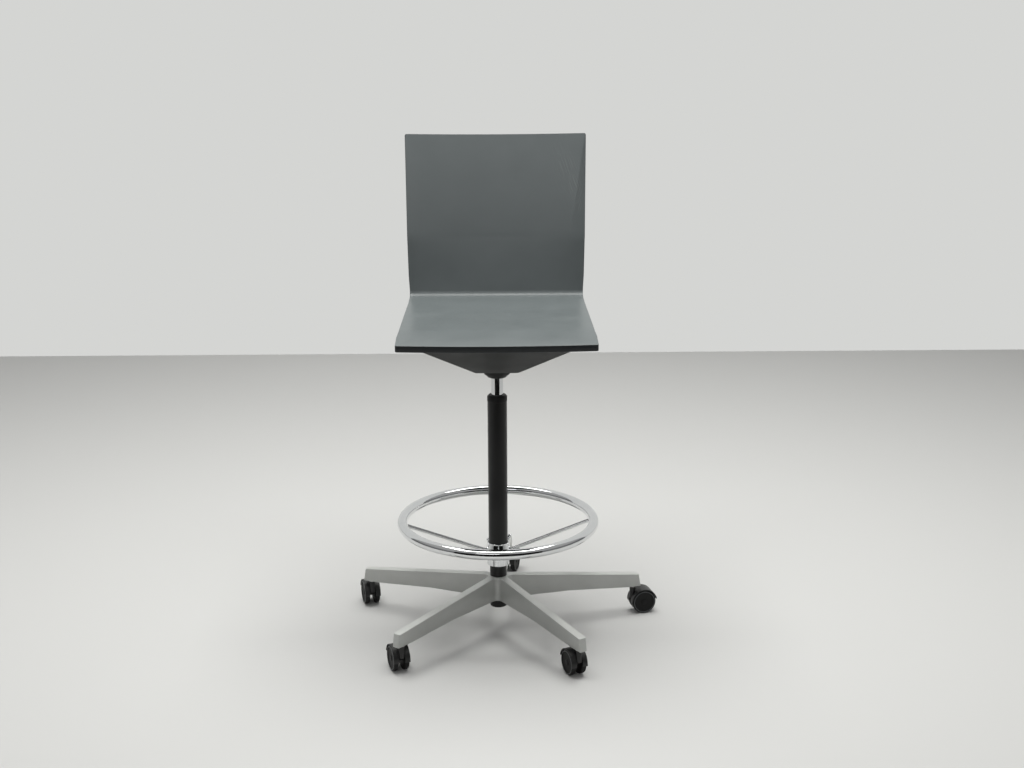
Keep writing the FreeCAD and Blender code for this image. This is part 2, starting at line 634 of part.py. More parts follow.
def base_star():
    flat = ARM_REACH + ARM_END_LEAN - TIP_FLAT
    middle = (HUB_RADIUS + flat) / 2
    envelope = revolve([(0, HUB_BOTTOM), (HUB_RADIUS, HUB_BOTTOM), (middle, ARM_BELLY),
                        (flat, ARM_TIP_BOTTOM), (ARM_REACH + ARM_END_LEAN, ARM_TIP_BOTTOM), (ARM_REACH, ARM_TIP_TOP),
                        (HUB_RADIUS, HUB_TOP), (0, HUB_TOP)])
    blank = star_outline().extrude(Vector(0, 0, HUB_TOP + 20))
    star = blank.common(envelope)
    # Each arm is hollow from below, between its side walls.
    trough_start = HUB_RADIUS + 14
    trough_end = SOCKET_RADIUS_AT - STEM_RADIUS - 6
    slope = (HUB_TOP - ARM_TIP_TOP) / (ARM_REACH - HUB_RADIUS)
    for k in range(ARM_COUNT):
        lid = [(r, HUB_TOP - slope * (r - HUB_RADIUS) - ARM_WALL - 1) for r in (trough_start, trough_end)]
        side = -ARM_WIDTH / 2 + ARM_WALL
        outline = [Vector(trough_start, side, 0), Vector(trough_end, side, 0),
                   Vector(lid[1][0], side, lid[1][1]), Vector(lid[0][0], side, lid[0][1])]
        trough = Part.Face(Part.makePolygon(outline + outline[:1]))
        trough = trough.extrude(Vector(0, ARM_WIDTH - 2 * ARM_WALL, 0))
        star = star.cut(turned(trough, arm_angle(k)))
        x, y = socket_place(k)
        socket = cylinder(STEM_RADIUS + RUNNING, ARM_TIP_BOTTOM - 1, ARM_TIP_BOTTOM + SOCKET_DEPTH, x, y)
        star = star.cut(socket)
    return star.cut(cylinder(FOOT_RADIUS + RUNNING, 0, HUB_TOP + 30))


def arm_angle(k):
    return ARM_ANGLE + k * 360.0 / ARM_COUNT


def socket_place(k):
    a = math.radians(arm_angle(k))
    return SOCKET_RADIUS_AT * math.cos(a), SOCKET_RADIUS_AT * math.sin(a)


# ---- castors ----------------------------------------------------------------------------
# Each is drawn with its stem on the Z axis and its wheels trailing along +X, then put in place.
def castor_stem():
    low = WHEEL_RADIUS + 15.0
    pin = cylinder(STEM_RADIUS, low, ARM_TIP_BOTTOM + SOCKET_DEPTH - 1)
    flange = cylinder(STEM_FLANGE_RADIUS, ARM_TIP_BOTTOM - STEM_FLANGE, ARM_TIP_BOTTOM)
    return pin.fuse(flange).removeSplitter()


def hood_band(inner, outer, half_low, half_high, start, end):
    """Part of a tube about the axle, between two places along it and two angles.

    Angles start at the axle's level on the stem side and go up over the wheels.
    """
    a = math.radians(start)
    corners = [Vector(TRAIL - r * math.cos(a), y, WHEEL_RADIUS + r * math.sin(a))
               for r, y in ((inner, half_low), (outer, half_low), (outer, half_high), (inner, half_high))]
    face = Part.Face(Part.makePolygon(corners + corners[:1]))
    return face.revolve(Vector(TRAIL, 0, WHEEL_RADIUS), Vector(0, 1, 0), end - start)


def castor_housing():
    inner = WHEEL_RADIUS + HOOD_GAP
    outer = inner + HOOD_WALL
    boss_top = ARM_TIP_BOTTOM - STEM_FLANGE - SEAT_GAP
    pieces = [
        hood_band(inner, outer, -HOOD_HALF, HOOD_HALF, HOOD_JOIN, HOOD_BACK),
        hood_band(inner, outer, -HOOD_HALF, -WHEEL_INNER, HOOD_FRONT, HOOD_JOIN + 1),
        hood_band(inner, outer, WHEEL_INNER, HOOD_HALF, HOOD_FRONT, HOOD_JOIN + 1),
        hood_band(8.0, inner + 0.5, -WEB_HALF, WEB_HALF, 20.0, 160.0),
        along("Y", 9.0, -WEB_HALF, WEB_HALF, (TRAIL, WHEEL_RADIUS)),
        cylinder(BOSS_RADIUS, WHEEL_RADIUS + 8, boss_top),
        box((0, -WEB_HALF, WHEEL_RADIUS + 8), (TRAIL, WEB_HALF, WHEEL_RADIUS + 20)),
    ]
    housing = fuse(pieces)
    housing = housing.cut(cylinder(STEM_RADIUS + RUNNING, WHEEL_RADIUS + 14.7, boss_top + 1))
    return housing.cut(along("Y", AXLE_RADIUS, -WEB_HALF - 1, WEB_HALF + 1, (TRAIL, WHEEL_RADIUS)))


def castor_axle():
    half = WHEEL_OUTER - 5.0
    return along("Y", AXLE_RADIUS, -half, half, (TRAIL, WHEEL_RADIUS))


def castor_wheel(side):
    """Twin wheel: tread with round shoulders, rim ring, recessed disc and a hub towards the web."""
    w, s, r = WHEEL_OUTER, WHEEL_SHOULDER, WHEEL_RADIUS
    q = s * (1 - math.sqrt(0.5))
    hub_in = WEB_HALF + SEAT_GAP
    bore = AXLE_RADIUS + RUNNING
    bore_end = WHEEL_OUTER - 4.6
    inner = WHEEL_INNER
    points = [(0, bore_end), (bore, bore_end), (bore, hub_in), (8.0, hub_in), (8.0, inner), (r - 1.5, inner),
              (r, inner + 1.5), (r, w - RIM_HEIGHT - s), (r - q, w - RIM_HEIGHT - q), (r - s, w - RIM_HEIGHT),
              (RIM_OUTER, w - RIM_HEIGHT), (RIM_OUTER, w), (RIM_INNER, w), (RIM_INNER, w - DISC_RECESS),
              (7.0, w - DISC_RECESS - 0.6), (6.0, w - DISC_RECESS + 0.4), (0, w - DISC_RECESS + 0.4)]
    wheel = revolve(points)
    wheel = wheel.rotated(Vector(0, 0, 0), Vector(1, 0, 0), -90 if side > 0 else 90)
    wheel.translate(Vector(TRAIL, 0, WHEEL_RADIUS))
    return wheel


def place_castor(shape, k):
    x, y = socket_place(k)
    shape = turned(shape, CASTOR_TURN[k])
    shape.translate(Vector(x, y, 0))
    return shape


# ---- foot ring --------------------------------------------------------------------------
def ring_torus(tube_radius):
    return Part.makeTorus(RING_RADIUS, tube_radius, Vector(0, 0, RING_HEIGHT), UP)


def foot_ring():
    return ring_torus(RING_TUBE).cut(ring_torus(RING_TUBE - RING_TUBE_WALL))


def spoke(k):
    """Straight bar from the hub up to the ring, trimmed by both."""
    start = Vector(sleeve_radius() + 1.5, 0, SPOKE_HUB_HEIGHT)
    end = Vector(RING_RADIUS - SPOKE_UNDER, 0, RING_HEIGHT - SPOKE_UNDER)
    bar = Part.makeCylinder(SPOKE_RADIUS, (end - start).Length, start, end - start)
    bar = turned(bar, SPOKE_ANGLE + k * 360.0 / SPOKE_COUNT)
    return bar.cut(ring_torus(RING_TUBE)).cut(hub_blank())


def hub_blank():
    """The ring hub's outside, and its clamp lug at the rear, as one solid without its bore."""
    bore = sleeve_radius() + RUNNING
    low, flare, rim = (bore + wall for wall in (RING_HUB_LOW_WALL, RING_HUB_WALL, RING_HUB_RIM_WALL))
    bottom, top = hub_bottom(), hub_top()
    body = revolve([(0, bottom), (low, bottom), (low, bottom + 4), (flare, bottom + 7), (flare, bottom + 17),
                    (rim, top - 2.0), (rim, top - 0.8), (rim - 0.8, top), (0, top)])
    y, z = clamp_place()
    lug = along("X", LUG_RADIUS, -LUG_HALF, LUG_HALF, (y, z))
    neck = box((-LUG_HALF, bore / 2, z - LUG_RADIUS), (LUG_HALF, y, z + LUG_RADIUS))
    return fuse([body, lug, neck])


def ring_hub():
    hub = hub_blank().cut(cylinder(sleeve_radius() + RUNNING, hub_bottom() - 1, hub_top() + 1))
    behind = clamp_place()[0] + LUG_RADIUS + 1
    band = hub_top() - BAND_HEIGHT
    wide = sleeve_radius() + RING_HUB_WALL + 5
    slit = box((-SLIT / 2, 10, band), (SLIT / 2, behind, hub_top() + 1))
    hub = hub.cut(slit.fuse(box((-wide, 6, band - BAND_CUT), (wide, behind, band))))
    return hub.cut(along("X", CLAMP_BOLT_RADIUS + RUNNING, -LUG_HALF - 1, LUG_HALF + 1, clamp_place()))


def ring_sleeve():
    """Split plastic sleeve between the hub and the column."""
    low = RING_NUT_BOTTOM + 1.0
    sleeve = tube(sleeve_radius(), TUBE_RADIUS + RUNNING, low, hub_top() - 1.0)
    return sleeve.cut(box((-0.6, 0, low + 20), (0.6, sleeve_radius() + 1, hub_top())))


def ring_collar():
    """Fluted collar at the sleeve's foot, which the hub rests on."""
    low, high = RING_NUT_BOTTOM, RING_NUT_BOTTOM + RING_NUT_HEIGHT
    bore = sleeve_radius() + RUNNING
    outer = bore + RING_NUT_WALL
    collar = revolve([(bore, low + 1), (TUBE_RADIUS + 1, low), (outer - 0.8, low), (outer, low + 0.8),
                      (outer, high - 0.8), (outer - 0.8, high), (bore, high)])
    for k in range(RING_NUT_FLUTES):
        a = 2 * math.pi * k / RING_NUT_FLUTES
        reach = outer + 0.9
        collar = collar.cut(cylinder(1.5, low - 1, high + 1, reach * math.cos(a), reach * math.sin(a)))
    return collar


def clamp_bolt():
    left, right = -LUG_HALF - CLAMP_NUT_LENGTH, LUG_HALF + CLAMP_CAM_LENGTH - 2
    return along("X", CLAMP_BOLT_RADIUS, left, right, clamp_place())


def clamp_nut():
    """Domed nut on the left end of the clamp bolt."""
    start = -LUG_HALF - CLAMP_NUT_LENGTH
    body = along("X", CLAMP_NUT_RADIUS, start, -LUG_HALF, clamp_place())
    dome = Part.makeSphere(CLAMP_NUT_RADIUS, Vector(start, *clamp_place()))
    nut = body.fuse(dome).removeSplitter()
    return nut.cut(along("X", CLAMP_BOLT_RADIUS, start, -LUG_HALF + 1, clamp_place()))


def clamp_lever():
    """Small cam lever standing up on the right end of the clamp bolt."""
    x = LUG_HALF + SEAT_GAP
    cam = along("X", CLAMP_CAM_RADIUS, x, x + CLAMP_CAM_LENGTH, clamp_place())
    low = Vector(x + CLAMP_CAM_LENGTH / 2, *clamp_place())
    lean = Vector(CLAMP_LEVER_LEAN, 0, CLAMP_LEVER_RISE)
    grip = Part.makeCone(3.4, CLAMP_LEVER_RADIUS, lean.Length, low, lean)
    end = Part.makeSphere(CLAMP_LEVER_RADIUS, low + lean)
    lever = fuse([cam, grip, end])
    bolt_end = LUG_HALF + CLAMP_CAM_LENGTH - 2 + SEAT_GAP
    return lever.cut(along("X", CLAMP_BOLT_RADIUS + RUNNING, x - 1, bolt_end, clamp_place()))


# ---- all nodes --------------------------------------------------------------------------
def main():
    save("seat_shell", seat_shell())
    save("seat_pan", seat_pan())
    save("seat_bracket", seat_bracket())
    save("seat_spacers", seat_spacers())
    save("plate_screws", plate_screws())
    save("release_lever", release_lever())
    save("lever_pin", lever_pin())
    save("release_button", release_button())
    save("gas_cylinder", gas_cylinder())
    save("rod_guide", rod_guide())
    save("piston_rod", piston_rod())
    save("piston", piston())
    save("thrust_bearing", thrust_bearing())
    save("retaining_clip", retaining_clip())
    save("column_tube", column_tube())
    save("column_cap", column_cap())
    save("guide_bush", guide_bush())
    save("base_star", base_star())
    save("foot_ring", foot_ring())
    save("ring_hub", ring_hub())
    save("ring_sleeve", ring_sleeve())
    save("ring_collar", ring_collar())
    save("clamp_bolt", clamp_bolt())
    save("clamp_nut", clamp_nut())
    save("clamp_lever", clamp_lever())
    for k in range(SPOKE_COUNT):
        save("ring_spoke_%d" % (k + 1), spoke(k))
    for k in range(ARM_COUNT):
        n = k + 1
        save("castor_%d_stem" % n, place_castor(castor_stem(), k))
        save("castor_%d_housing" % n, place_castor(castor_housing(), k))
        save("castor_%d_axle" % n, place_castor(castor_axle(), k))
        save("castor_%d_wheel_left" % n, place_castor(castor_wheel(1), k))
        save("castor_%d_wheel_right" % n, place_castor(castor_wheel(-1), k))


main()
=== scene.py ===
import json
import math
import bmesh
import bpy
from mathutils import Matrix, Vector

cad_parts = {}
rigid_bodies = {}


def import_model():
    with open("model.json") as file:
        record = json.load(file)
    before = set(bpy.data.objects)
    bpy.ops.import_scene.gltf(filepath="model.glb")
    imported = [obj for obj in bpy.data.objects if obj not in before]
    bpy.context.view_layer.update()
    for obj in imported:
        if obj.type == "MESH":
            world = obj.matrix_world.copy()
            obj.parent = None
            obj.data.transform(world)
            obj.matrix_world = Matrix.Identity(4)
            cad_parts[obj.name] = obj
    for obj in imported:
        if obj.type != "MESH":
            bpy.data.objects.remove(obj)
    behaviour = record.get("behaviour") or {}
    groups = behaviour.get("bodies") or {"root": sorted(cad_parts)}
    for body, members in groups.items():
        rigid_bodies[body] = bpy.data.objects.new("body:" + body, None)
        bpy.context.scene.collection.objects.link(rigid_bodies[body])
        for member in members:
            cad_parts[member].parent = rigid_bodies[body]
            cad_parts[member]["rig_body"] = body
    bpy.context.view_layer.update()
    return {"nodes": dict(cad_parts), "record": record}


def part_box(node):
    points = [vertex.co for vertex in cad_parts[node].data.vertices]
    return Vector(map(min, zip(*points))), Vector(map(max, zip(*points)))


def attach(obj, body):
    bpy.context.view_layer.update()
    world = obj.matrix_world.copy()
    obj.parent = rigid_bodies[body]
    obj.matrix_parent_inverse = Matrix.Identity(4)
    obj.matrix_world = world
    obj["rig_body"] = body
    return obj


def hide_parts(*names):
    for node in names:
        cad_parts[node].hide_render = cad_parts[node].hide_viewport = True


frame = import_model()
nodes = frame["nodes"]
bpy.context.scene.view_settings.view_transform = "Standard"


# ---- camera, floor, backdrop and light -----------------------------------------------------
def make_camera():
    data = bpy.data.cameras.new("camera")
    data.lens = 54.07
    data.sensor_width = 36.0
    camera = bpy.data.objects.new("camera", data)
    bpy.context.scene.collection.objects.link(camera)
    turn = (Matrix.Rotation(math.radians(-0.575), 4, "Z") @ Matrix.Rotation(math.radians(90 - 14.837), 4, "X")
            @ Matrix.Rotation(math.radians(-0.258), 4, "Z"))
    camera.matrix_world = Matrix.Translation((0.0, -3.213, 1.415)) @ turn
    bpy.context.scene.camera = camera


def make_lamp(name, place, aim, size, power, colour=(1, 1, 1)):
    data = bpy.data.lights.new(name, "AREA")
    data.shape = "RECTANGLE"
    data.size, data.size_y = size
    data.energy = power
    data.color = colour
    lamp = bpy.data.objects.new(name, data)
    bpy.context.scene.collection.objects.link(lamp)
    lamp.location = place
    lamp.rotation_euler = (Vector(aim) - Vector(place)).to_track_quat("-Z", "Y").to_euler()
    return lamp


def plain_tree(name):
    """A new material's node tree, with only its output in it."""
    material = bpy.data.materials.new(name)
    material.use_nodes = True
    tree = material.node_tree
    tree.nodes.clear()
    return material, tree, tree.nodes.new("ShaderNodeOutputMaterial")


def show_front_only(tree, shader, out):
    """Let a stage plane be seen from its front alone, so that it never hides the object."""
    geometry = tree.nodes.new("ShaderNodeNewGeometry")
    clear = tree.nodes.new("ShaderNodeBsdfTransparent")
    mix = tree.nodes.new("ShaderNodeMixShader")
    tree.links.new(geometry.outputs["Backfacing"], mix.inputs[0])
    tree.links.new(shader, mix.inputs[1])
    tree.links.new(clear.outputs[0], mix.inputs[2])
    tree.links.new(mix.outputs[0], out.inputs["Surface"])


def backdrop_material(name, shown, lighting):
    """A plain pale wall to the camera and to reflections, and a dull one to everything else."""
    material, tree, out = plain_tree(name)
    path = tree.nodes.new("ShaderNodeLightPath")
    seen = tree.nodes.new("ShaderNodeMath")
    seen.operation = "MAXIMUM"
    tree.links.new(path.outputs["Is Camera Ray"], seen.inputs[0])
    tree.links.new(path.outputs["Is Glossy Ray"], seen.inputs[1])
    glow = tree.nodes.new("ShaderNodeEmission")
    glow.inputs["Color"].default_value = (*shown, 1)
    diffuse = tree.nodes.new("ShaderNodeBsdfDiffuse")
    diffuse.inputs["Color"].default_value = (*lighting, 1)
    mix = tree.nodes.new("ShaderNodeMixShader")
    tree.links.new(seen.outputs[0], mix.inputs[0])
    tree.links.new(diffuse.outputs[0], mix.inputs[1])
    tree.links.new(glow.outputs[0], mix.inputs[2])
    show_front_only(tree, mix.outputs[0], out)
    return material


def stage_material(name, shown, lighting):
    """Pale to the camera and to reflections, and darker where it would bounce light back up."""
    material, tree, out = plain_tree(name)
    path = tree.nodes.new("ShaderNodeLightPath")
    seen = tree.nodes.new("ShaderNodeMath")
    seen.operation = "MAXIMUM"
    tree.links.new(path.outputs["Is Camera Ray"], seen.inputs[0])
    tree.links.new(path.outputs["Is Glossy Ray"], seen.inputs[1])
    mix = tree.nodes.new("ShaderNodeMix")
    mix.data_type = "RGBA"
    mix.inputs["A"].default_value = (*lighting, 1)
    mix.inputs["B"].default_value = (*shown, 1)
    tree.links.new(seen.outputs[0], mix.inputs["Factor"])
    diffuse = tree.nodes.new("ShaderNodeBsdfDiffuse")
    tree.links.new(mix.outputs["Result"], diffuse.inputs["Color"])
    show_front_only(tree, diffuse.outputs[0], out)
    return material


def make_stage():
    bpy.ops.object.select_all(action="DESELECT")
    bpy.ops.mesh.primitive_plane_add(size=14, location=(0, 1.0, 0))
    floor = bpy.context.object
    floor.name = "floor"
    floor.data.materials.append(stage_material("floor_paint", (0.66, 0.66, 0.655), (0.12, 0.12, 0.12)))
    bpy.ops.mesh.primitive_plane_add(size=14, location=(0, 2.6, 3.5), rotation=(math.radians(90), 0, 0))
    wall = bpy.context.object
    wall.name = "backdrop"
    wall.data.materials.append(backdrop_material("backdrop_paint", (0.66, 0.665, 0.65), (0.40, 0.40, 0.40)))


def make_flag(name, size, place, turn=0.0):
    """An upright dark card that only reflections see, for the dark bands in the plating."""
    bpy.ops.object.select_all(action="DESELECT")
    bpy.ops.mesh.primitive_plane_add(size=1, location=place, rotation=(math.radians(90), 0, turn))
    flag = bpy.context.object
    flag.name = name
    flag.scale = (*size, 1)
    material, tree, out = plain_tree(name + "_cloth")
    cloth = tree.nodes.new("ShaderNodeBsdfDiffuse")
    cloth.inputs["Color"].default_value = (0.012, 0.012, 0.012, 1)
    tree.links.new(cloth.outputs[0], out.inputs["Surface"])
    flag.data.materials.append(material)
    flag.visible_camera = flag.visible_diffuse = flag.visible_shadow = False


def make_world():
    world = bpy.data.worlds.new("studio")
    bpy.context.scene.world = world
    world.use_nodes = True
    tree = world.node_tree
    tree.nodes.clear()
    out = tree.nodes.new("ShaderNodeOutputWorld")
    background = tree.nodes.new("ShaderNodeBackground")
    coordinates = tree.nodes.new("ShaderNodeTexCoord")
    split = tree.nodes.new("ShaderNodeSeparateXYZ")
    tree.links.new(coordinates.outputs["Generated"], split.inputs[0])
    ramp = tree.nodes.new("ShaderNodeValToRGB")
    ramp.color_ramp.elements[0].position = 0.02
    ramp.color_ramp.elements[0].color = (0.16, 0.165, 0.17, 1)
    ramp.color_ramp.elements[1].position = 0.55
    ramp.color_ramp.elements[1].color = (0.62, 0.62, 0.61, 1)
    tree.links.new(split.outputs["Z"], ramp.inputs["Fac"])
    tree.links.new(ramp.outputs["Color"], background.inputs["Color"])
    background.inputs["Strength"].default_value = 0.6
    tree.links.new(background.outputs[0], out.inputs["Surface"])


# ---- shared effects ------------------------------------------------------------------------
def new_group(name, inputs, outputs):
    """A shader node group with named sockets; inputs and outputs are (name, kind, value)."""
    group = bpy.data.node_groups.new(name, "ShaderNodeTree")
    for direction, sockets in (("INPUT", inputs), ("OUTPUT", outputs)):
        for label, kind, value in sockets:
            socket = group.interface.new_socket(name=label, in_out=direction, socket_type="NodeSocket" + kind)
            if value is not None:
                socket.default_value = value
    return group, group.nodes.new("NodeGroupInput"), group.nodes.new("NodeGroupOutput")


def node(tree, kind, **values):
    made = tree.nodes.new("ShaderNode" + kind)
    for key, value in values.items():
        setattr(made, key, value)
    return made


def link(tree, source, target):
    tree.links.new(source, target)


def math_node(tree, operation, a, b=None, clamp=False):
    made = node(tree, "Math", operation=operation, use_clamp=clamp)
    for socket, value in zip(made.inputs, (a, b)):
        if value is None:
            continue
        if isinstance(value, (int, float)):
            socket.default_value = value
        else:
            link(tree, value, socket)
    return made.outputs[0]


def make_grain_group():
    """Fine moulded or sprayed grain: a height, and a slow mottle for colour and gloss."""
    group, given, out = new_group("surface_grain", [("Vector", "Vector", None), ("Scale", "Float", 900.0)],
                                  [("Height", "Float", None), ("Mottle", "Float", None)])
    fine = node(group, "TexNoise")
    fine.inputs["Detail"].default_value = 3.0
    link(group, given.outputs["Vector"], fine.inputs["Vector"])
    link(group, given.outputs["Scale"], fine.inputs["Scale"])
    slow = node(group, "TexNoise")
    slow.inputs["Scale"].default_value = 14.0
    slow.inputs["Detail"].default_value = 5.0
    slow.inputs["Roughness"].default_value = 0.6
    link(group, given.outputs["Vector"], slow.inputs["Vector"])
    link(group, fine.outputs["Fac"], out.inputs["Height"])
    link(group, slow.outputs["Fac"], out.inputs["Mottle"])
    return group


def make_scuff_group():
    """A patch of faint marks: short streaks that fade out away from a centre."""
    group, given, out = new_group(
        "scuff_patch", [("Vector", "Vector", None), ("Centre", "Vector", (0, 0, 0)), ("Turn", "Vector", (0, 0, 0)),
                        ("Spread", "Vector", (20, 20, 20)), ("Streaks", "Vector", (60, 900, 60))],
        [("Mask", "Float", None)])
    shift = node(group, "VectorMath", operation="SUBTRACT")
    link(group, given.outputs["Vector"], shift.inputs[0])
    link(group, given.outputs["Centre"], shift.inputs[1])
    turn = node(group, "VectorRotate", rotation_type="EULER_XYZ")
    link(group, shift.outputs[0], turn.inputs["Vector"])
    link(group, given.outputs["Turn"], turn.inputs["Rotation"])
    spread = node(group, "VectorMath", operation="MULTIPLY")
    link(group, turn.outputs[0], spread.inputs[0])
    link(group, given.outputs["Spread"], spread.inputs[1])
    reach = node(group, "VectorMath", operation="LENGTH")
    link(group, spread.outputs[0], reach.inputs[0])
    fade = math_node(group, "SUBTRACT", 1.0, reach.outputs["Value"], clamp=True)
    streaks = node(group, "VectorMath", operation="MULTIPLY")
    link(group, turn.outputs[0], streaks.inputs[0])
    link(group, given.outputs["Streaks"], streaks.inputs[1])
    noise = node(group, "TexNoise")
    noise.inputs["Scale"].default_value = 1.0
    noise.inputs["Detail"].default_value = 2.0
    link(group, streaks.outputs[0], noise.inputs["Vector"])
    marks = node(group, "MapRange")
    marks.inputs["From Min"].default_value = 0.54
    marks.inputs["From Max"].default_value = 0.68
    link(group, noise.outputs["Fac"], marks.inputs["Value"])
    link(group, math_node(group, "MULTIPLY", marks.outputs["Result"], fade), out.inputs["Mask"])
    return group


def use_group(tree, group, coordinates, **values):
    made = tree.nodes.new("ShaderNodeGroup")
    made.node_tree = group
    link(tree, coordinates, made.inputs["Vector"])
    for key, value in values.items():
        made.inputs[key].default_value = value
    return made


def blend_colour(tree, mask, a, b):
    """Colour a where the mask is 0 and b where it is 1; either may be a socket."""
    mix = node(tree, "Mix", data_type="RGBA")
    link(tree, mask, mix.inputs["Factor"])
    for key, value in (("A", a), ("B", b)):
        if isinstance(value, tuple):
            mix.inputs[key].default_value = (*value, 1)
        else:
            link(tree, value, mix.inputs[key])
    return mix.outputs["Result"]


def map_range(tree, value, low, high, start=0.0, end=1.0):
    made = node(tree, "MapRange")
    for key, number in (("From Min", start), ("From Max", end), ("To Min", low), ("To Max", high)):
        made.inputs[key].default_value = number
    link(tree, value, made.inputs["Value"])
    return made.outputs["Result"]


def finish_material(name, dark, light, rough, grain=900.0, bump=0.1, metallic=0.0, settings=None):
    """A Principled material: mottled colour and gloss with a fine grain. Returns it, its tree and shader."""
    material, tree, out = plain_tree(name)
    shader = node(tree, "BsdfPrincipled")
    shader.inputs["Metallic"].default_value = metallic
    for key, value in (settings or {}).items():
        shader.inputs[key].default_value = value
    coordinates = node(tree, "TexCoord").outputs["Object"]
    surface = use_group(tree, GRAIN, coordinates, Scale=grain)
    mottle = map_range(tree, surface.outputs["Mottle"], 0.0, 1.0, 0.3, 0.7)
    link(tree, blend_colour(tree, mottle, dark, light), shader.inputs["Base Color"])
    link(tree, map_range(tree, surface.outputs["Mottle"], *rough, 0.3, 0.7), shader.inputs["Roughness"])
    relief = node(tree, "Bump")
    relief.inputs["Strength"].default_value = bump
    relief.inputs["Distance"].default_value = 0.0002
    link(tree, surface.outputs["Height"], relief.inputs["Height"])
    link(tree, relief.outputs["Normal"], shader.inputs["Normal"])
    link(tree, shader.outputs[0], out.inputs["Surface"])
    return material, tree, shader


make_camera()
make_stage()
make_world()
make_flag("front_flag", (3.0, 0.95), (0, -1.4, 0.48))
make_lamp("ceiling_light", (0.0, 0.2, 3.2), (0, 0.1, 0.6), (3.0, 2.0), 112, (1.0, 1.0, 0.97))
make_lamp("front_light", (-0.9, -4.2, 2.6), (0, 0, 0.6), (2.0, 1.4), 12)

GRAIN = make_grain_group()
SCUFF = make_scuff_group()


# ---- finishes ------------------------------------------------------------------------------
# Rubs and scratches on the shell: centre, turn, how fast they fade and their streaks along each axis, strength.
RUBBED_LACQUER = (0.30, 0.32, 0.31)
SHELL_MARKS = [
    ((-0.150, 0.020, 0.713), (0, 0, 0.5), (22, 30, 20), (40, 700, 40), 0.35),
    ((0.150, -0.010, 0.713), (0, 0, -0.8), (30, 34, 20), (700, 60, 60), 0.35),
    ((0.165, 0.272, 0.985), (0, 0.35, 0), (28, 10, 12), (900, 20, 22), 0.45),
    ((0.188, 0.262, 0.930), (0, -0.25, 0), (40, 10, 22), (1100, 20, 30), 0.40),
    ((-0.020, 0.010, 0.713), (0, 0, 1.1), (8, 9, 20), (1500, 30, 60), 0.10),
]

def make_shell_finish():
    """Satin grey lacquer, with the faint rubs and scratches of use on the seat and the back."""
    material, tree, shader = finish_material("grey_lacquer", (0.120, 0.136, 0.140), (0.130, 0.147, 0.151),
                                             (0.34, 0.42), grain=1400.0, bump=0.05)
    coordinates = node(tree, "TexCoord").outputs["Object"]
    colour = shader.inputs["Base Color"].links[0].from_socket
    rough = shader.inputs["Roughness"].links[0].from_socket
    for centre, turn, spread, streaks, strength in SHELL_MARKS:
        patch = use_group(tree, SCUFF, coordinates, Centre=centre, Turn=turn, Spread=spread, Streaks=streaks)
        mask = math_node(tree, "MULTIPLY", patch.outputs["Mask"], strength)
        colour = blend_colour(tree, mask, colour, RUBBED_LACQUER)
        duller = math_node(tree, "MULTIPLY", patch.outputs["Mask"], 0.12)
        rough = math_node(tree, "ADD", rough, duller, clamp=True)
    link(tree, colour, shader.inputs["Base Color"])
    link(tree, rough, shader.inputs["Roughness"])
    return material


finishes = {}
finishes["shell"] = make_shell_finish()
# Darker lacquer for the shell's front, side and top edge faces: painted shade, standing in for the shadow on the
# down-facing front edge.
finishes["shell_edge"] = finish_material("edge_lacquer_painted_shade", (0.018, 0.021, 0.024), (0.022, 0.025, 0.028),
                                         (0.40, 0.48), 1400.0, 0.05)[0]
finishes["pan"] = finish_material("pan_grey", (0.017, 0.019, 0.018), (0.021, 0.023, 0.022), (0.5, 0.6), 1100.0, 0.2,
                                  settings={"Specular IOR Level": 0.3})[0]
finishes["chrome"] = finish_material("chrome_plate", (0.74, 0.75, 0.76), (0.80, 0.81, 0.82), (0.05, 0.10), 300.0, 0.02, 1.0)[0]
finishes["steel"] = finish_material("bright_steel", (0.50, 0.50, 0.49), (0.58, 0.58, 0.57), (0.22, 0.34), 700.0, 0.1, 1.0)[0]
finishes["bracket_steel"] = finish_material("zinc_steel", (0.34, 0.35, 0.35), (0.44, 0.45, 0.45), (0.38, 0.5), 500.0, 0.2, 1.0)[0]
finishes["black_paint"] = finish_material("satin_black_paint", (0.004, 0.004, 0.004), (0.006, 0.006, 0.006), (0.30, 0.38), 1500.0,
                                          0.10, settings={"Specular IOR Level": 0.35})[0]
finishes["black_plastic"] = finish_material("black_plastic", (0.006, 0.006, 0.006), (0.009, 0.009, 0.009), (0.42, 0.55), 1300.0,
                                            0.25, settings={"Specular IOR Level": 0.35})[0]
finishes["base_paint"] = finish_material("silver_powder_coat", (0.60, 0.61, 0.59), (0.66, 0.67, 0.65), (0.34, 0.44), 1600.0,
                                         0.15, settings={"Metallic": 0.35})[0]
# Dark castor hood plastic, its colour lifted a little above the other black plastics as painted sheen from the
# overhead light.
finishes["castor_hood"] = finish_material("castor_hood_plastic", (0.012, 0.012, 0.012), (0.018, 0.018, 0.018), (0.36, 0.48), 1200.0,
                                          0.2, settings={"Specular IOR Level": 0.5})[0]
finishes["castor_wheel"] = finish_material("castor_tread", (0.005, 0.005, 0.005), (0.009, 0.009, 0.009), (0.5, 0.65), 1000.0, 0.3,
                                           settings={"Specular IOR Level": 0.3})[0]
finishes["castor_rim"] = finish_material("castor_rim_plastic", (0.10, 0.105, 0.11), (0.13, 0.135, 0.14), (0.35, 0.45), 1200.0, 0.15)[0]
finishes["nylon"] = finish_material("pale_nylon", (0.62, 0.61, 0.56), (0.68, 0.67, 0.62), (0.45, 0.55), 900.0, 0.1)[0]

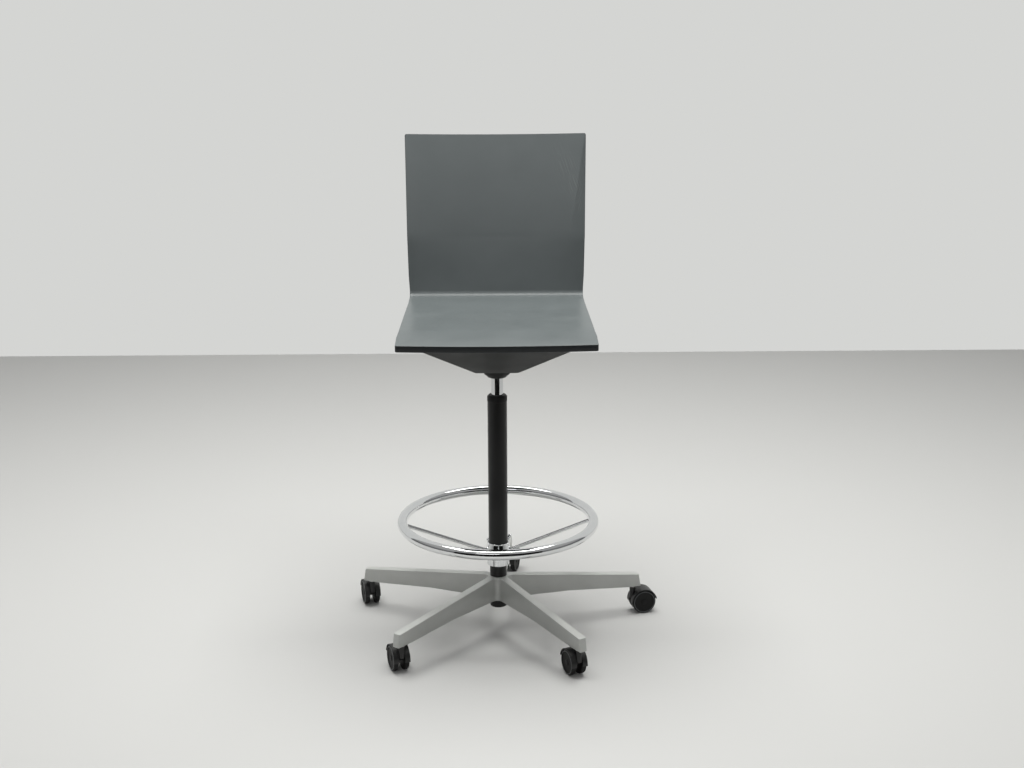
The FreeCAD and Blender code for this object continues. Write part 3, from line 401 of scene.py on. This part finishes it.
# ---- modelling helpers -----------------------------------------------------------------------
def begin(add, **values):
    """Start a piece from a primitive and stay in edit mode, with nothing selected."""
    if bpy.context.object and bpy.context.object.mode == "EDIT":
        bpy.ops.object.mode_set(mode="OBJECT")
    bpy.ops.object.select_all(action="DESELECT")
    add(**values)
    bpy.ops.object.transform_apply(location=True, rotation=True, scale=True)
    bpy.ops.object.mode_set(mode="EDIT")
    bpy.ops.mesh.select_all(action="DESELECT")
    return bpy.context.object


def pick(kind, wanted):
    """Select the vertices, edges or faces of the piece in edit mode for which wanted is true."""
    mesh = bpy.context.object.data
    bpy.context.tool_settings.mesh_select_mode = (kind == "VERT", kind == "EDGE", kind == "FACE")
    bpy.ops.mesh.select_all(action="DESELECT")
    shape = bmesh.from_edit_mesh(mesh)
    for part in {"VERT": shape.verts, "EDGE": shape.edges, "FACE": shape.faces}[kind]:
        if wanted(part):
            part.select_set(True)
    shape.select_flush_mode()
    bmesh.update_edit_mesh(mesh)


def at(value, target, slack=2e-4):
    return abs(value - target) < slack


def move(x=0.0, y=0.0, z=0.0):
    bpy.ops.transform.translate(value=(x, y, z))


def grow(x, y, z, centre=(0, 0, 0)):
    bpy.ops.transform.resize(value=(x, y, z), center_override=centre)


def pull(x=0.0, y=0.0, z=0.0):
    """Extrude what is selected, and move the new part."""
    bpy.ops.mesh.extrude_region_move(TRANSFORM_OT_translate={"value": (x, y, z)})


def outward():
    bpy.ops.mesh.select_all(action="SELECT")
    bpy.ops.mesh.remove_doubles(threshold=1e-5)
    bpy.ops.mesh.normals_make_consistent(inside=False)


def finish_piece(name, body, replaced, slot, modifiers=(), angle=40, material=None):
    """Leave edit mode, apply the modifiers, smooth, and hand the piece to the frame."""
    if bpy.context.object.mode == "EDIT":
        bpy.ops.object.mode_set(mode="OBJECT")
    piece = bpy.context.object
    piece.name = name
    for kind, values in modifiers:
        bpy.ops.object.modifier_add(type=kind)
        modifier = piece.modifiers[-1]
        for key, value in values.items():
            setattr(modifier, key, value)
        bpy.ops.object.modifier_apply(modifier=modifier.name)
    bpy.ops.object.shade_smooth_by_angle(angle=math.radians(angle))
    piece.data.materials.clear()
    piece.data.materials.append(material or finishes[slot])
    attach(piece, body)
    if replaced:
        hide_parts(*replaced)
    return piece


def bevel(width, segments=3, angle=40):
    return ("BEVEL", {"width": width, "segments": segments, "limit_method": "ANGLE",
                      "angle_limit": math.radians(angle)})


WEIGHTED = ("WEIGHTED_NORMAL", {"keep_sharp": True, "weight": 80})


# ---- seat shell ----------------------------------------------------------------------------
SEAT_LEVEL = 0.713
SHELL_WALL = 0.014
# Half widths: along the seat by how far back, and up the back by height.
HALF_FRONT, HALF_TOP = 0.2048, 0.2045
SEAT_HALVES = [(-0.220, 0.2048), (-0.160, 0.2048), (-0.125, 0.2023), (0.150, 0.1969), (0.300, 0.1969)]
BACK_HALVES = [(0.735, 0.1969), (0.760, 0.1990), (0.845, 0.2010), (1.0935, 0.2045)]
# Side view of the shell at its left and right edges: corners as (y, z), and how each is rounded.
SHELL_CORNERS = [(-0.213, 0.7005), (-0.120, 0.7105), (0.224, 0.713), (0.238, 0.845), (0.284, 1.0735)]
SHELL_ROUNDS = [(0.320, 5), (0.014, 10), (0.260, 5)]
FRONT_BOW, FRONT_SAG, BACK_HOLLOW, TOP_DIP = 0.006, 0.001, 0.007, 0.0025
COLUMNS = 18
COLUMN_REACH = 0.190


def sweep_edge(corners, rounds):
    """Pull the selected edge along straight runs in the YZ plane, and spin it round each corner."""
    here = corners[0]
    for before, corner, after, (radius, steps) in zip(corners, corners[1:], corners[2:], rounds):
        arrive = math.atan2(corner[1] - before[1], corner[0] - before[0])
        leave = math.atan2(after[1] - corner[1], after[0] - corner[0])
        turn = leave - arrive
        side = math.copysign(1.0, turn)
        back = radius * math.tan(abs(turn) / 2)
        start = (corner[0] - back * math.cos(arrive), corner[1] - back * math.sin(arrive))
        pull(0, start[0] - here[0], start[1] - here[1])
        centre = (start[0] - side * radius * math.sin(arrive), start[1] + side * radius * math.cos(arrive))
        bpy.ops.mesh.spin(steps=steps, angle=-turn, center=(0, *centre), axis=(1, 0, 0))
        here = (corner[0] + back * math.cos(leave), corner[1] + back * math.sin(leave))
    pull(0, corners[-1][0] - here[0], corners[-1][1] - here[1])


def between(points, place):
    """Straight-line value at a place along a list of (place, value)."""
    for (a, low), (b, high) in zip(points, points[1:]):
        if place <= b:
            return low + (high - low) * (place - a) / (b - a)
    return points[-1][1]


def model_shell():
    front_y, front_z = SHELL_CORNERS[0]
    begin(bpy.ops.mesh.primitive_plane_add, size=2 * HALF_FRONT, location=(0, front_y + HALF_FRONT, front_z))
    pick("VERT", lambda v: v.co.y > front_y + 0.01)
    bpy.ops.mesh.delete(type="VERT")
    pick("EDGE", lambda e: True)
    sweep_edge(SHELL_CORNERS, SHELL_ROUNDS)
    outward()
    shape = bmesh.from_edit_mesh(bpy.context.object.data)
    # Cuts where the outline changes direction, then the sides draw in towards the fold and open up the back.
    for place, normal in [((0, y, 0), (0, 1, 0)) for y, half in SEAT_HALVES[1:4]] + [((0, 0, 0.760), (0, 0, 1))]:
        bpy.ops.mesh.select_all(action="SELECT")
        bpy.ops.mesh.bisect(plane_co=place, plane_no=normal)
    shape = bmesh.from_edit_mesh(bpy.context.object.data)
    rows = sorted({(round(v.co.y, 5), round(v.co.z, 5)) for v in shape.verts})
    for y, z in rows:
        half = between(BACK_HALVES, z) if z > BACK_HALVES[0][0] else between(SEAT_HALVES, y)
        pick("VERT", lambda v: at(v.co.y, y, 2e-5) and at(v.co.z, z, 2e-5))
        grow(half / HALF_FRONT, 1, 1)
    for k in range(1, COLUMNS):
        bpy.ops.mesh.select_all(action="SELECT")
        bpy.ops.mesh.bisect(plane_co=(COLUMN_REACH * (2 * k / COLUMNS - 1), 0, 0), plane_no=(1, 0, 0))
    # Column by column, the front bows out and the back is hollowed.
    back_rows = [(y, z) for y, z in rows if z > SHELL_CORNERS[2][1] + 0.02]
    low, high = min(z for y, z in back_rows), SHELL_CORNERS[3][1]
    top_z = SHELL_CORNERS[-1][1]
    for k in range(1, COLUMNS):
        x = COLUMN_REACH * (2 * k / COLUMNS - 1)
        middle = 1 - (x / HALF_TOP) ** 2
        pick("VERT", lambda v: at(v.co.x, x) and v.co.y < front_y + 1e-4)
        move(0, -FRONT_BOW * middle, -FRONT_SAG * middle)
        for y, z in back_rows[1:]:
            pick("VERT", lambda v: at(v.co.x, x) and at(v.co.z, z, 2e-5) and at(v.co.y, y, 2e-5))
            share = min((z - low) / (high - low), 1.0)
            move(0, BACK_HOLLOW * middle * share, -TOP_DIP * middle if z > top_z - 1e-4 else 0)
    pick("VERT", lambda v: len(v.link_edges) == 2)
    bpy.ops.mesh.bevel(offset=0.004, segments=4, affect="VERTICES")
    shape = bmesh.from_edit_mesh(bpy.context.object.data)
    bpy.ops.mesh.select_all(action="SELECT")
    bpy.ops.mesh.normals_make_consistent(inside=False)
    shape = bmesh.from_edit_mesh(bpy.context.object.data)
    seat_face = min(shape.faces, key=lambda f: f.calc_center_median().y)
    if seat_face.normal.z < 0:
        bpy.ops.mesh.flip_normals()
    shell = finish_piece("shell", "seat", ["seat_shell"], "shell",
                         [("SOLIDIFY", {"thickness": SHELL_WALL, "offset": -1, "use_even_offset": True,
                                        "material_offset_rim": 1}),
                          bevel(0.0010, 3, 50), WEIGHTED], angle=45)
    # Front, side and top edge faces take the darker lacquer, painted shade for the shadow on the edges; the rest keep
    # the shell's own grey.
    shell.data.materials.append(finishes["shell_edge"])
    for face in shell.data.polygons:
        front = face.center.y < front_y + 0.004 and face.normal.y < -0.75
        side = abs(face.normal.x) > 0.75
        top = face.center.z > top_z - 0.008 and face.normal.z > 0.75
        face.material_index = 1 if front or side or top else 0
    return shell


# ---- pan under the seat ----------------------------------------------------------------------
PAN_BOTTOM, PAN_RIM = 0.600, 0.686
PAN_BOTTOM_HALF, PAN_RIM_HALF = 0.048, 0.176
PAN_WALL = 0.003
SHELL_GAP = 0.0004


def model_pan():
    begin(bpy.ops.mesh.primitive_cube_add, size=1, location=(0, 0, (PAN_BOTTOM + PAN_RIM) / 2),
          scale=(2 * PAN_RIM_HALF, 2 * PAN_RIM_HALF, PAN_RIM - PAN_BOTTOM))
    pick("VERT", lambda v: at(v.co.z, PAN_BOTTOM))
    grow(PAN_BOTTOM_HALF / PAN_RIM_HALF, PAN_BOTTOM_HALF / PAN_RIM_HALF, 1)
    pick("FACE", lambda f: f.calc_center_median().z > PAN_RIM - 1e-4)
    bpy.ops.mesh.delete(type="ONLY_FACE")
    pick("EDGE", lambda e: all(at(v.co.z, PAN_RIM) for v in e.verts))
    pull(0, 0, 0.020)
    pick("EDGE", lambda e: at(abs(e.verts[0].co.x), abs(e.verts[0].co.y)) and at(e.verts[0].co.x, e.verts[1].co.x, 0.2)
         and abs(e.verts[0].co.z - e.verts[1].co.z) > 0.005)
    bpy.ops.mesh.bevel(offset=0.008, segments=5)
    pick("EDGE", lambda e: all(at(v.co.z, PAN_BOTTOM) for v in e.verts))
    bpy.ops.mesh.bevel(offset=0.003, segments=3)
    # The rim is cut to lie along the shell's underside, flat at the back and falling at the front.
    for a, b in (SHELL_CORNERS[1:3], SHELL_CORNERS[0:2]):
        slope = Vector((0, b[0] - a[0], b[1] - a[1])).normalized()
        up = Vector((0, -slope.z, slope.y))
        bpy.ops.mesh.select_all(action="SELECT")
        bpy.ops.mesh.bisect(plane_co=Vector((0, *b)) - up * (SHELL_WALL + SHELL_GAP), plane_no=up, clear_outer=True)
    outward()
    pan = finish_piece("pan", "seat", ["seat_pan"], "pan",
                       [("SOLIDIFY", {"thickness": PAN_WALL, "offset": -1, "use_even_offset": True})])
    # Slot for the release lever in the rear wall.
    low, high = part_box("release_lever")
    begin(bpy.ops.mesh.primitive_cube_add, size=1, location=(0, 0.135, 0.6775), scale=(0.016, 0.092, 0.024))
    pick("EDGE", lambda e: abs(e.verts[0].co.y - e.verts[1].co.y) > 0.05)
    bpy.ops.mesh.bevel(offset=0.003, segments=3)
    bpy.ops.object.mode_set(mode="OBJECT")
    cutter = bpy.context.object
    bpy.ops.object.select_all(action="DESELECT")
    bpy.context.view_layer.objects.active = pan
    pan.select_set(True)
    bpy.ops.object.modifier_add(type="BOOLEAN")
    pan.modifiers[-1].object = cutter
    pan.modifiers[-1].solver = "EXACT"
    bpy.ops.object.modifier_apply(modifier=pan.modifiers[-1].name)
    bpy.data.objects.remove(cutter)
    bpy.ops.object.shade_smooth_by_angle(angle=math.radians(40))
    return pan


def turn_profile(name, body, replaced, slot, outline, count=72, closed=True, modifiers=(), centre=(0, 0)):
    """A round piece drawn out ring by ring from a circle; the outline is (radius, height) points."""
    radius, height = outline[0]
    begin(bpy.ops.mesh.primitive_circle_add, vertices=count, radius=radius, location=(*centre, height))
    bpy.ops.mesh.select_all(action="SELECT")
    for new_radius, new_height in outline[1:]:
        pull(0, 0, new_height - height)
        grow(new_radius / radius, new_radius / radius, 1, (*centre, new_height))
        radius, height = new_radius, new_height
    if closed:
        shape = bmesh.from_edit_mesh(bpy.context.object.data)
        pick("EDGE", lambda e: len(e.link_faces) < 2)
        bpy.ops.mesh.bridge_edge_loops()
    outward()
    return finish_piece(name, body, replaced, slot, modifiers, angle=35)


# ---- base star -------------------------------------------------------------------------------
ARM_COUNT, ARM_TURN = 5, 13.7
ARM_WIDTH, ARM_WALL = 0.018, 0.003
HUB_RADIUS, HUB_LOW, HUB_HIGH = 0.024, 0.070, 0.1245
ARM_REACH, END_LEAN = 0.329, 0.0046
ARM_BELLY_AT, ARM_BELLY = 0.162, 0.0715
TIP_FLAT, TIP_CORNER = 0.034, 0.003
TIP_LOW, TIP_HIGH = 0.0645, 0.0935
SOCKET_AT = 0.316


def model_star():
    # Sections along an arm: distance out, underside and top.
    slope = (HUB_HIGH - TIP_HIGH) / (ARM_REACH - HUB_RADIUS)

    def top(r):
        return HUB_HIGH - slope * max(r - HUB_RADIUS, 0)

    middle, flat = ARM_BELLY_AT, ARM_REACH + END_LEAN - TIP_FLAT
    side = ARM_WIDTH / (2 * math.sin(math.pi / ARM_COUNT))
    apothem = side * math.cos(math.pi / ARM_COUNT)

    def under(r):
        for (r0, z0), (r1, z1) in (((HUB_RADIUS, HUB_LOW), (middle, ARM_BELLY)), ((middle, ARM_BELLY), (flat, TIP_LOW))):
            if r < r1:
                return z0 + (z1 - z0) * max(r - r0, 0) / (r1 - r0)
        return TIP_LOW

    sections = [0.031, 0.042, middle, flat, SOCKET_AT - 0.012, ARM_REACH]
    begin(bpy.ops.mesh.primitive_cylinder_add, vertices=ARM_COUNT, radius=side, depth=HUB_HIGH - HUB_LOW,
          location=(0, 0, (HUB_HIGH + HUB_LOW) / 2), rotation=(0, 0, math.radians(ARM_TURN - 90 + 180 / ARM_COUNT)))
    for k in range(ARM_COUNT):
        angle = math.radians(ARM_TURN + 360 / ARM_COUNT * k)
        out = Vector((math.cos(angle), math.sin(angle), 0))
        pick("FACE", lambda f: f.normal.dot(out) > 0.99)
        here, low, high = apothem, HUB_LOW, HUB_HIGH
        for r in sections:
            pull(*(out * (r - here)))
            grow(1, 1, (top(r) - under(r)) / (high - low), (0, 0, 0))
            shape = bmesh.from_edit_mesh(bpy.context.object.data)
            now = min(v.co.z for v in shape.verts if v.select)
            move(0, 0, under(r) - now)
            here, low, high = r, under(r), top(r)
        # The tip leans out at its foot.
        pick("VERT", lambda v: v.co.dot(out) > ARM_REACH - 1e-4 and v.co.z < TIP_LOW + 1e-3)
        move(*(out * END_LEAN))
    outward()
    # Concave webs between the arms.
    pick("EDGE", lambda e: all(at(Vector(v.co.xy).length, side, 5e-4) for v in e.verts)
         and abs(e.verts[0].co.z - e.verts[1].co.z) > 0.02)
    bpy.ops.mesh.bevel(offset=sections[0] - apothem - 0.0016, segments=10)
    # Rounded upright corners at the tips.
    pick("EDGE", lambda e: all(Vector(v.co.xy).length > ARM_REACH - 1e-3 for v in e.verts)
         and abs(e.verts[0].co.z - e.verts[1].co.z) > 0.02)
    bpy.ops.mesh.bevel(offset=TIP_CORNER, segments=4)
    # Hollow underside between the side walls, from near the hub to the castor's socket.
    pick("FACE", lambda f: f.normal.z < -0.9 and sections[1] < Vector(f.calc_center_median().xy).length < sections[4])
    bpy.ops.mesh.inset(thickness=ARM_WALL, use_outset=False)
    pull(0, 0, 0.001)
    shape = bmesh.from_edit_mesh(bpy.context.object.data)
    inner = sorted({round(Vector(v.co.xy).length, 4) for v in shape.verts if v.select})
    for r in inner:
        pick("VERT", lambda v: at(Vector(v.co.xy).length, r, 6e-5) and v.co.z > under(r) + 0.0006 and v.co.z < under(r) + 0.0015)
        move(0, 0, top(r) - ARM_WALL - under(r) - 0.001)
    outward()
    return finish_piece("star", "base", ["base_star"], "base_paint", [bevel(0.0011, 3, 38), WEIGHTED], angle=50)


# ---- castors ---------------------------------------------------------------------------------
WHEEL_RADIUS, WHEEL_INNER, WHEEL_OUTER = 0.0275, 0.0068, 0.0175
RIM_OUTER, RIM_INNER, RIM_PROUD = 0.0250, 0.0230, 0.0008
TRAIL = 0.024
CASTOR_TURN = (14, 74, 106, 110.5, 113)


def model_castor_wheel():
    """One wheel about the Z axis, then laid on its axle: tread, shoulder, rim ring and dished disc."""
    inner, outer = WHEEL_INNER, WHEEL_OUTER - RIM_PROUD
    outline = [(0.0035, inner - 0.0012), (0.0078, inner - 0.0012), (0.0080, inner), (WHEEL_RADIUS - 0.0015, inner),
               (WHEEL_RADIUS - 0.0004, inner + 0.0005), (WHEEL_RADIUS, inner + 0.0015),
               (WHEEL_RADIUS, inner + 0.0050), (WHEEL_RADIUS - 0.0002, inner + 0.0053),
               (WHEEL_RADIUS, inner + 0.0056), (WHEEL_RADIUS, outer - 0.0020), (WHEEL_RADIUS - 0.0006, outer - 0.0007),
               (WHEEL_RADIUS - 0.0020, outer), (RIM_OUTER, outer), (RIM_OUTER, outer + 0.0005),
               (RIM_OUTER - 0.0003, WHEEL_OUTER), (RIM_INNER + 0.0003, WHEEL_OUTER), (RIM_INNER, outer + 0.0005),
               (RIM_INNER - 0.0002, outer - 0.0007), (0.0200, outer - 0.0010), (0.0120, outer - 0.0013),
               (0.0070, outer - 0.0013), (0.0066, outer - 0.0004), (0.0060, outer), (0.0010, outer + 0.0001)]
    radius, height = outline[0]
    begin(bpy.ops.mesh.primitive_circle_add, vertices=64, radius=radius, location=(0, 0, height))
    bpy.ops.mesh.select_all(action="SELECT")
    for new_radius, new_height in outline[1:]:
        pull(0, 0, new_height - height)
        grow(new_radius / radius, new_radius / radius, 1, (0, 0, new_height))
        radius, height = new_radius, new_height
    bpy.ops.mesh.edge_face_add()
    bpy.ops.mesh.poke()
    outward()
    bpy.ops.object.mode_set(mode="OBJECT")
    wheel = bpy.context.object
    wheel.data.materials.append(finishes["castor_wheel"])
    wheel.data.materials.append(finishes["castor_rim"])
    for face in wheel.data.polygons:
        distance = face.center.xy.length
        if RIM_INNER - 1e-4 < distance < RIM_OUTER + 1e-4 and face.center.z > outer + 1e-4:
            face.material_index = 1
    bpy.ops.object.shade_smooth_by_angle(angle=math.radians(38))
    return wheel


def model_castors():
    """Twin wheels for each castor, copied from one wheel and laid on its axle."""
    pattern = model_castor_wheel()
    for k, turn in enumerate(CASTOR_TURN):
        stem = math.radians(ARM_TURN + 360 / ARM_COUNT * k)
        place = (Matrix.Translation((SOCKET_AT * math.cos(stem), SOCKET_AT * math.sin(stem), 0))
                 @ Matrix.Rotation(math.radians(turn), 4, "Z") @ Matrix.Translation((TRAIL, 0, WHEEL_RADIUS)))
        for side, lay in (("left", -90), ("right", 90)):
            wheel = bpy.data.objects.new("castor_%d_%s" % (k + 1, side), pattern.data.copy())
            bpy.context.scene.collection.objects.link(wheel)
            wheel.data.transform(place @ Matrix.Rotation(math.radians(lay), 4, "X"))
            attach(wheel, "castor_%d_%s_roller" % (k + 1, side))
            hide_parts("castor_%d_wheel_%s" % (k + 1, side))
    bpy.data.objects.remove(pattern)


def soften(name, width, segments=2, angle=40, material=None):
    """A copy of a CAD node with its seams merged and its sharp edges rounded."""
    bpy.ops.object.select_all(action="DESELECT")
    cad = nodes[name]
    piece = bpy.data.objects.new(name + "_rounded", cad.data.copy())
    bpy.context.scene.collection.objects.link(piece)
    bpy.context.view_layer.objects.active = piece
    piece.select_set(True)
    bpy.ops.object.mode_set(mode="EDIT")
    bpy.ops.mesh.select_all(action="SELECT")
    bpy.ops.mesh.customdata_custom_splitnormals_clear()
    bpy.ops.mesh.remove_doubles(threshold=2e-6)
    bpy.ops.mesh.dissolve_limited(angle_limit=math.radians(1.5))
    body = cad["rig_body"]
    slots = {part["node"]: part["material_slot"] for part in frame["record"]["subparts"]}
    return finish_piece(piece.name, body, [name], slots[name], [bevel(width, segments, angle), WEIGHTED], angle=45,
                        material=material)


def repaint():
    """Give each CAD node that still shows the finish of its record slot."""
    slots = {part["node"]: part["material_slot"] for part in frame["record"]["subparts"]}
    for name, cad in nodes.items():
        cad.data.materials.clear()
        cad.data.materials.append(finishes[slots[name]])


repaint()
model_shell()
model_pan()
turn_profile("pan_cup", "seat", [], "pan",
             [(0.014, 0.601), (0.014, 0.5805), (0.0175, 0.580), (0.0205, 0.5812), (0.0225, 0.5838), (0.0272, 0.5872),
              (0.0302, 0.5925), (0.0318, 0.5985), (0.0320, 0.6015)])
model_star()
model_castors()
for k in range(1, 6):
    soften("castor_%d_housing" % k, 0.0006)
soften("column_cap", 0.0006)
soften("clamp_lever", 0.0008)
soften("clamp_nut", 0.0004)
